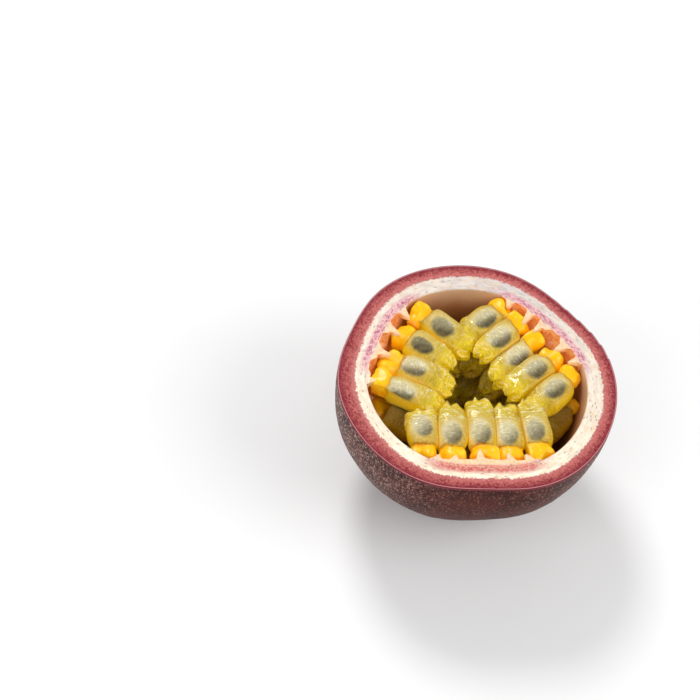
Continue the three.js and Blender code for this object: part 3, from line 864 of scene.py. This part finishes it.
def sac_frame(cluster, spec, row_depth, seed_shift=0.6, painted_sheen_amount=0.0):
    """Where a sac lies: the middle of its axis, the axis from tip to cap, its side direction and its length.
    Its seed's place along the axis and to the side is set off to the front, and the last argument says how
    strong the painted milky sheen over the seed is."""
    side, swing, tip, lift, size = spec
    depth = row_depth - lift
    azimuth = math.radians(cluster["azimuth"])
    wall = float(layer_radius(PLACENTA_INSET, azimuth + math.atan2(side, SAC_REACH), depth))
    cap_end = min(SAC_REACH, math.sqrt(wall * wall - side * side) - CAP_SETBACK)
    turn = azimuth + math.atan2(-swing, cap_end - tip)
    axis = np.array([math.cos(turn), math.sin(turn), 0.0])
    side_axis = np.array([-axis[1], axis[0], 0.0])
    out = np.array([math.cos(azimuth), math.sin(azimuth), 0.0])
    across = np.array([-math.sin(azimuth), math.cos(azimuth), 0.0])
    middle = out * (cap_end + tip) / 2 + across * (side + swing / 2)
    middle += axis_point(depth)
    return {
        "middle": middle,
        "axis": axis,
        "side": side_axis,
        "length": math.hypot(cap_end - tip, swing),
        "width": SAC_WIDTH * size,
        "height": SAC_HEIGHT * size,
        "seed": (seed_shift - SEED_FORWARD * axis[1], -SEED_FORWARD * side_axis[1]),
        "painted_sheen_amount": painted_sheen_amount,
    }


def placed(local, middle, place):
    """Points given along a sac's axis, to its side and upwards from a middle, as points of the frame."""
    return (middle + local[..., :1] * place["axis"] + local[..., 1:2] * place["side"]
            + local[..., 2:] * np.array([0, 0, 1.0]))


def sac_outline(along):
    """Half width along a sac, tip at -1 and cap at 1: the smooth union of a long body with blunt ends, whose
    tip is a little slimmer, and a round knob."""
    slimmer = 1 - 0.1 * smoothstep(-along, 0.3, 1)
    body = np.sqrt(np.clip(1 - np.abs((along - BODY_MIDDLE) / BODY_HALF) ** 4.0, 0, 1)) * slimmer
    knob = KNOB_WIDTH * np.sqrt(np.clip(1 - (np.abs(along - KNOB_MIDDLE) / KNOB_HALF) ** 2.3, 0, 1))
    blend = 0.3
    near = np.clip(blend - np.abs(body - knob), 0, blend)
    return np.maximum(body, knob) + near ** 2 / (4 * blend) * smoothstep(np.minimum(body, knob), 0, 0.2)


def contact_planes(place, others):
    """For each sac that lies close, a plane square to the shortest way between the two axes, which it parts
    by their widths, though never nearer than LEAST_SIDE. Gives its point, its direction away from this sac,
    and whether the axes are nearly parallel."""
    share = np.linspace(-0.42, 0.42, 29)[:, None]
    mine = place["middle"] + share * place["length"] * place["axis"]
    planes = []
    for other in others:
        theirs = other["middle"] + share * other["length"] * other["axis"]
        gaps = np.linalg.norm(mine[:, None] - theirs[None], axis=-1)
        i, j = np.unravel_index(gaps.argmin(), gaps.shape)
        reach = (place["width"] + other["width"]) / 2
        if 0.5 < gaps[i, j] < reach * 1.35:
            direction = (theirs[j] - mine[i]) / gaps[i, j]
            ratio = place["width"] / (place["width"] + other["width"])
            limit = max(gaps[i, j] * ratio - SAC_GAP, LEAST_SIDE * place["width"])
            parallel = abs(place["axis"] @ other["axis"]) > 0.9
            planes.append((mine[i] + direction * limit, direction, parallel))
    return planes


def sun_side(place):
    """The direction of the back left corner, above, in a sac's own axes, mostly across it."""
    sun = np.array([-0.5, 0.75, 0.35])
    return np.array([0.3 * (sun @ place["axis"]), sun @ place["side"], sun[2]])


def sac_grid(place, planes, seed, rows=84, columns=72):
    """A sac's membrane: its outline turned round its axis, squarish across, with creases that grow towards
    the tip, lumps on the cap, a scalloped edge at the tip, and a tip that sinks. Where a neighbour lies its
    side is pressed back to the plane between them. Also gives its marks, among them where light and shade
    are painted, and where its streaks are looked up."""
    turn, angle = np.meshgrid(ring(columns), np.linspace(0, np.pi, rows))
    along = 0.5 * (2 * angle / np.pi - 1) - 0.5 * np.cos(angle)
    square = np.abs(np.cos(turn)) ** SAC_SQUARENESS + np.abs(np.sin(turn)) ** SAC_SQUARENESS
    share = sac_outline(along) * square ** (-1 / SAC_SQUARENESS)
    reach = along * place["length"] / 2
    sideways = place["width"] / 2 * SAC_PLUMPNESS * share * np.cos(turn)
    upward = place["height"] / 2 * share * np.sin(turn)
    local = np.stack([reach, sideways, upward], axis=-1)
    tipward = smoothstep(-along, 0.0, 0.9)
    capward = smoothstep(along, 0.36, 0.6)
    coarse = ridged(local, 3.0, seed)
    fine = ridged(local + coarse[..., None] * 0.5, 1.4, seed + 1)
    crease = (0.04 + 0.46 * tipward) * coarse + (0.02 + 0.1 * tipward) * fine
    crease = crease + 0.4 * lattice_noise(local, 4.6, seed + 5)
    lumps = 0.95 * lattice_noise(local, 2.0, seed + 2) + 0.15 * lattice_noise(local, 0.9, seed + 3)
    lean = np.random.default_rng(seed).uniform(-0.7, 0.7, 2)
    normal = unit(local * np.array([0.25, 1.0, 1.0]))
    local = local + normal * ((crease + capward * lumps) * smoothstep(share, 0, 0.4))[..., None]
    local[..., 1:] += capward[..., None] * lean
    wide_lobes = 1.1 * np.abs(np.sin(2.5 * turn + seed)) ** 0.8
    small_lobes = 0.5 * np.abs(np.sin(3.5 * turn + 2.0 * seed)) ** 0.8
    lobes = 1.6 - wide_lobes - small_lobes
    local[..., 0] -= (lobes - 0.5) * 0.85 * smoothstep(-along, 0.55, 0.97) * smoothstep(share, 0.05, 0.5)
    local[..., 2] -= SAC_DROOP * ((1 - along) / 2) ** 2
    points = placed(local, place["middle"], place)
    seam = np.zeros_like(share)
    for origin, direction, parallel in planes:
        beyond = (points - origin) @ direction
        if parallel:
            seam = np.maximum(seam, bell(beyond, 0.05, 0.16))
        pressed = np.maximum(beyond + PRESS_SOFTNESS, 0)
        points = points - (pressed ** 2 / (pressed + 2 * PRESS_SOFTNESS))[..., None] * direction
    from_seed = local[..., :2] - np.array(place["seed"])
    over = np.hypot(from_seed[..., 0] / 2.45, from_seed[..., 1] / 1.8)
    sun = sun_side(place)
    lean_in = smoothstep(from_seed @ sun[:2], -0.9, 0.9)
    marks = {
        "cap": capward,
        # where painted shade falls on the cap, in the narrowing behind its knob
        "waist": bell(along, WAIST, 0.09),
        "tip": tipward,
        "crest": coarse * 0.55 + fine * 0.45,
        "over_seed": smoothstep(over, 1.35, 0.55),
        # painted light: how far each point lies towards the key light
        "lit": smoothstep(local @ sun, -1.6, 2.0),
        # painted sheen over the seed, on its side towards the key light, scaled per sac
        "sheen": np.minimum(smoothstep(over, 1.7, 0.8) * (0.1 + 0.9 * lean_in) * place["painted_sheen_amount"], 1),
        "seam": seam * (1 - tipward) * (np.sin(turn) > 0),
        "flank": np.abs(np.cos(turn)),
        # share of the cap's top, which is painted lighter
        "crown": smoothstep(np.sin(turn), -0.3, 0.85),
    }
    return points, marks, local * np.array([2.8, 1.0, 1.0]) + seed


def seed_grid(place, seed):
    """A flattened egg inside a sac, thicker towards the cap, with slight creases from noise."""
    turn, angle = np.meshgrid(ring(30), np.linspace(0, np.pi, 26))
    along = -np.cos(angle)
    share = np.sin(angle) * (1 + 0.14 * along)
    half_length, half_width, half_height = SEED_HALVES
    reach = half_length * along
    sideways = half_width * share * np.cos(turn)
    upward = half_height * share * np.sin(turn)
    local = np.stack([reach, sideways, upward], axis=-1)
    local *= 1 + 0.03 * ridged(local, 0.8, seed)[..., None]
    along_shift, side_shift = place["seed"]
    middle = place["middle"] + place["axis"] * along_shift + place["side"] * side_shift * 0.3
    return placed(local, middle + np.array([0, 0, SEED_RAISE]), place)


def make_row(key, name, node, row_depth, first_draw, gel):
    """The sacs of one row, each a piece of its own, pressed flat by their neighbours in the row. Gives the
    grids of their seeds."""
    row = []
    for cluster in CLUSTERS:
        for i, spec in enumerate(cluster[key]):
            seen = (cluster["seeds"][i], cluster["painted_sheen_amount"][i]) if key == "top" else ()
            row.append((f"{cluster['name']}_{i + 1}", sac_frame(cluster, spec, row_depth, *seen)))
    seeds = []
    for i, (label, place) in enumerate(row):
        planes = contact_planes(place, [other for other_label, other in row if other_label != label])
        points, marks, flow = sac_grid(place, planes, first_draw + 3 * i)
        mesh_piece(f"{name}_{label}", [points], gel, [f"{node}_{label}"], marks, flow)
        seeds.append(seed_grid(place, first_draw + 3 * i))
    return seeds


def make_bed(first_draw, gel):
    """The sacs of the bed as one piece, with fewer points each. Gives the grids of their seeds."""
    places = [sac_frame(cluster, spec, BED_ROW_DEPTH) for cluster in CLUSTERS for spec in cluster["bed"]]
    sacs = []
    seeds = []
    for i, place in enumerate(places):
        planes = contact_planes(place, places[:i] + places[i + 1:])
        sacs.append(sac_grid(place, planes, first_draw + 3 * i, rows=44, columns=36))
        seeds.append(seed_grid(place, first_draw + 3 * i))
    grids, all_marks, flows = zip(*sacs)
    marks = {key: np.concatenate([one[key] for one in all_marks]) for key in all_marks[0]}
    mesh_piece("bed_sacs", grids, gel, ["pulp_bed"], marks, np.concatenate(flows))
    return seeds


def make_sacs():
    """The top row in bright jelly, the lower row and the bed in jelly with painted shade, darker and browner,
    and all the seeds as one piece.
    """
    bright = gel_finish("juice_jelly", 0)
    # painted shade: a darker, browner copy of the jelly for the deeper rows
    dim = gel_finish("shaded_jelly", 0.45)
    seeds = make_row("top", "juice_sac", "sac", TOP_ROW_DEPTH, 100, bright)
    seeds += make_row("lower", "lower_sac", "sac_lower", LOWER_ROW_DEPTH, 300, dim)
    seeds += make_bed(500, dim)
    mesh_piece("seeds", seeds, seed_finish())


def make_pulp_floor():
    """The bottom of the cavity filled to a bumpy level: the layer just under its wall, from the low end up to
    the bed's depth, and a disc drawn in from there to the axis, moved up and down by noise in two sizes."""
    azimuth = ring(160)
    inset = CAVITY_INSET + BED_INSET
    low = math.asin(BED_DEPTH / (POLE_DEPTH - inset))
    wall = layer_point(inset, azimuth, np.linspace(np.pi / 2, low, 24)[:, None])
    share = np.linspace(1, 0, 50)[1:, None]
    centre = axis_point(BED_DEPTH)
    top = centre + (wall[-1:] - centre) * share[..., None]
    bumps = 0.9 * lattice_noise(top, 3.2, 8) + 0.4 * lattice_noise(top, 1.4, 9)
    top[..., 2] += smoothstep(1 - share, 0, 0.1) * bumps
    mesh_piece("pulp_floor", [np.concatenate([wall, top])], pulp_finish())


# ---------- floor, lights and camera

VIEW_ELEVATION = 52.9    # above the cut face
VIEW_ROLL = 15.6         # how much the fruit's right side leans down in the picture
VIEW_DISTANCE = 725.0
LENS = 200.0
SENSOR = 36.0
PICTURE = 700
CUT_CENTRE_PIXEL = (476.8, 379.1)   # where the middle of the cut is seen

FLOOR_HALF = 1.5         # in metres, as are the lights' places and widths
SURROUND_STRENGTH = 0.42
LIGHTS_AIM = (0, 0, 0.02)
LIGHTS = (               # place, width and power
    ("key", (-0.26, 0.34, 0.50), 0.22, 2.15),
    ("right", (0.50, -0.06, 0.38), 0.55, 2.0),
    ("front", (-0.34, -0.48, 0.34), 0.60, 1.65),
)


def make_camera():
    """A long lens that sees the cut from the front and above, rolled, with the fruit off to the right."""
    data = bpy.data.cameras.new("camera")
    data.lens = LENS
    data.sensor_width = SENSOR
    data.clip_start = 0.01
    elevation = math.radians(VIEW_ELEVATION)
    roll = math.radians(VIEW_ROLL)
    target = Vector(axis_point(0))
    to_target = Vector((0, math.cos(elevation), -math.sin(elevation)))
    level = Vector((1, 0, 0))
    upright = level.cross(to_target)
    right = math.cos(roll) * level + math.sin(roll) * upright
    up = -math.sin(roll) * level + math.cos(roll) * upright
    focal = PICTURE * LENS / SENSOR
    aside = (CUT_CENTRE_PIXEL[0] - PICTURE / 2) / focal
    under = (CUT_CENTRE_PIXEL[1] - PICTURE / 2) / focal
    forward = (to_target - aside * right + under * up).normalized()
    right = forward.cross(up).normalized()
    up = right.cross(forward)
    camera = bpy.data.objects.new("camera", data)
    place = (target - to_target * VIEW_DISTANCE) * MM
    camera.matrix_world = Matrix((
        (right.x, up.x, -forward.x, place.x),
        (right.y, up.y, -forward.y, place.y),
        (right.z, up.z, -forward.z, place.z),
        (0, 0, 0, 1)))
    bpy.context.scene.collection.objects.link(camera)
    bpy.context.scene.camera = camera


def area_light(name, place, width, power):
    """A round soft light that looks at the fruit."""
    data = bpy.data.lights.new(name, "AREA")
    data.shape = "DISK"
    data.size = width
    data.energy = power
    light = bpy.data.objects.new(name, data)
    light.location = place
    light.rotation_euler = (Vector(LIGHTS_AIM) - Vector(place)).to_track_quat("-Z", "Y").to_euler()
    bpy.context.scene.collection.objects.link(light)


def make_surroundings():
    """A pale floor, a soft white surround and three soft lights from above."""
    floor = Finish("pale_floor")
    colour = floor.mix(floor.patches(0.3, 0.7, 40.0, 2), (0.90, 0.90, 0.90, 1), (0.92, 0.92, 0.92, 1))
    material = floor.surface(Base_Color=colour, Roughness=0.8)
    mesh = bpy.data.meshes.new("floor")
    corners = [(-FLOOR_HALF, -FLOOR_HALF, 0), (FLOOR_HALF, -FLOOR_HALF, 0),
               (FLOOR_HALF, FLOOR_HALF, 0), (-FLOOR_HALF, FLOOR_HALF, 0)]
    mesh.from_pydata(corners, [], [(0, 1, 2, 3)])
    mesh.materials.append(material)
    plane = bpy.data.objects.new("floor", mesh)
    bpy.context.scene.collection.objects.link(plane)
    world = bpy.data.worlds.new("surround")
    world.use_nodes = True
    background = world.node_tree.nodes["Background"]
    background.inputs["Color"].default_value = (1, 1, 1, 1)
    background.inputs["Strength"].default_value = SURROUND_STRENGTH
    bpy.context.scene.world = world
    for light in LIGHTS:
        area_light(*light)
    bpy.context.scene.view_settings.view_transform = "Standard"


make_camera()
make_surroundings()
make_shell()
make_pith()
for cluster in CLUSTERS:
    make_placenta(cluster)
make_sacs()
make_pulp_floor()
